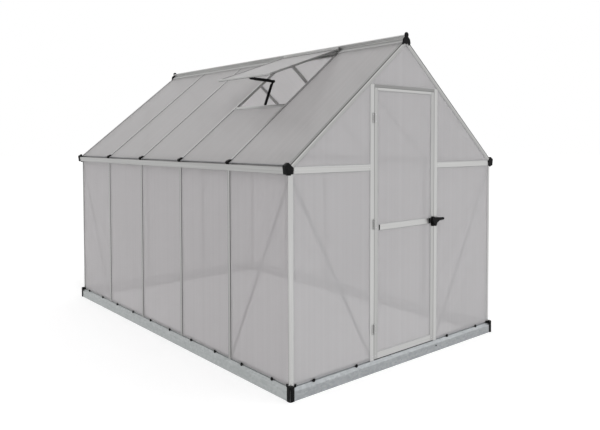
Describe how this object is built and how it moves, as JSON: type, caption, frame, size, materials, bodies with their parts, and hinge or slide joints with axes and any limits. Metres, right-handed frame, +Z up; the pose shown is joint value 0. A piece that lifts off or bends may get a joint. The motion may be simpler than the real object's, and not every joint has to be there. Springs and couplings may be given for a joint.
{
  "type": "hobby greenhouse",
  "caption": "Walk-in hobby greenhouse with an aluminium frame, twin-wall sheets, a steel base, a hinged door and a propped roof vent.",
  "frame": {"origin": "on the ground under the middle of the house, where the diagonals of the anchor holes cross", "axes": "+X to the right as seen from outside the door, +Y from the door gable to the rear gable, +Z up"},
  "size_m": [1.924, 3.1093, 2.0967],
  "materials": {
    "aluminium": "satin",
    "twin_wall_sheet": "semi-gloss, fluted inside",
    "galvanised_steel": "matt zinc",
    "black_resin": "fine matt",
    "rubber": "matt",
    "black_coated_steel": "satin black",
    "zinc_plated_steel": "bright zinc"
  },
  "bodies": {
    "frame": {"base_corner_caps": "black_resin", "base_rail_front": "galvanised_steel", "base_rail_left": "galvanised_steel", "base_rail_rear": "galvanised_steel", "base_rail_right": "galvanised_steel", "base_screw": "zinc_plated_steel", "corner_posts_front": "aluminium", "corner_posts_rear": "aluminium", "door_hinge_pins": "zinc_plated_steel", "door_lintel": "aluminium", "eave_corner_caps": "black_resin", "eave_gutter_left": "aluminium", "eave_gutter_right": "aluminium", "front_eave_rails": "aluminium", "front_panels": "twin_wall_sheet", "front_rakes": "aluminium", "hinge_jamb": "aluminium", "jamb_hinge_leaves": "aluminium", "latch_jamb": "aluminium", "rear_eave_rails": "aluminium", "rear_panels": "twin_wall_sheet", "rear_posts": "aluminium", "rear_rakes": "aluminium", "ridge_beam": "aluminium", "ridge_end_caps": "black_resin", "roof_bar_clips": "black_resin", "roof_bars_left": "aluminium", "roof_bars_right": "aluminium", "roof_panels_left": "twin_wall_sheet", "roof_panels_right": "twin_wall_sheet", "sheet_buttons": "black_resin", "side_bars_left": "aluminium", "side_bars_right": "aluminium", "side_panels_left": "twin_wall_sheet", "side_panels_right": "twin_wall_sheet", "stay_sill_bracket": "zinc_plated_steel", "vent_sill": "aluminium", "wall_braces": "zinc_plated_steel"},
    "door": {"door_hinge_stile": "aluminium", "door_latch_stile": "aluminium", "door_top_rail": "aluminium", "door_bottom_rail": "aluminium", "door_mid_rail": "aluminium", "door_lower_panel": "twin_wall_sheet", "door_upper_panel": "twin_wall_sheet", "door_rail_clips": "black_resin", "door_sweep": "rubber", "door_hinge_leaves": "aluminium", "handle_back_plate": "black_resin"},
    "handle": {"door_handle": "black_resin", "latch_spindle": "zinc_plated_steel"},
    "vent": {"vent_hinge_bar": "aluminium", "vent_side_bars": "aluminium", "vent_bottom_bar": "aluminium", "vent_panel": "twin_wall_sheet", "stay_vent_bracket": "zinc_plated_steel"},
    "stay_lower": {"stay_lower_arm": "black_coated_steel"},
    "stay_upper": {"stay_upper_arm": "black_coated_steel", "stay_knee_nut": "zinc_plated_steel"},
    "knob": {"stay_wing_knob": "black_resin"}
  },
  "joints": [
    {"name": "door_swing", "type": "hinge", "parent": "frame", "child": "door", "pos_m": [-0.283, -1.535, 0.905], "axis": [0, 0, -1], "range_deg": [0, 165]},
    {"name": "handle_turn", "type": "hinge", "parent": "door", "child": "handle", "pos_m": [0.27, -1.53, 0.88], "axis": [0, 1, 0], "range_deg": [0, 90]},
    {"name": "vent_tilt", "type": "hinge", "parent": "frame", "child": "vent", "pos_m": [-0.015, -0.612, 2.07068], "axis": [0, 1, 0], "range_deg": [-20, 5]},
    {"name": "stay_lower_swing", "type": "hinge", "parent": "frame", "child": "stay_lower", "pos_m": [-0.43537, -0.612, 1.63988], "axis": [0, 1, 0], "range_deg": [-6, 23.2]},
    {"name": "stay_upper_swing", "type": "hinge", "parent": "vent", "child": "stay_upper", "pos_m": [-0.55205, -0.612, 1.83918], "axis": [0, 1, 0], "range_deg": [-23.4, 6]},
    {"name": "knob_turn", "type": "hinge", "parent": "stay_lower", "child": "knob", "pos_m": [-0.36221, -0.612, 1.83139], "axis": [0, 1, 0], "range_deg": [-180, 180]}
  ],
  "couplings": [
    {"joint": "stay_lower_swing", "follows": "vent_tilt", "ratio": -1.1469},
    {"joint": "stay_upper_swing", "follows": "vent_tilt", "ratio": 1.158}
  ]
}
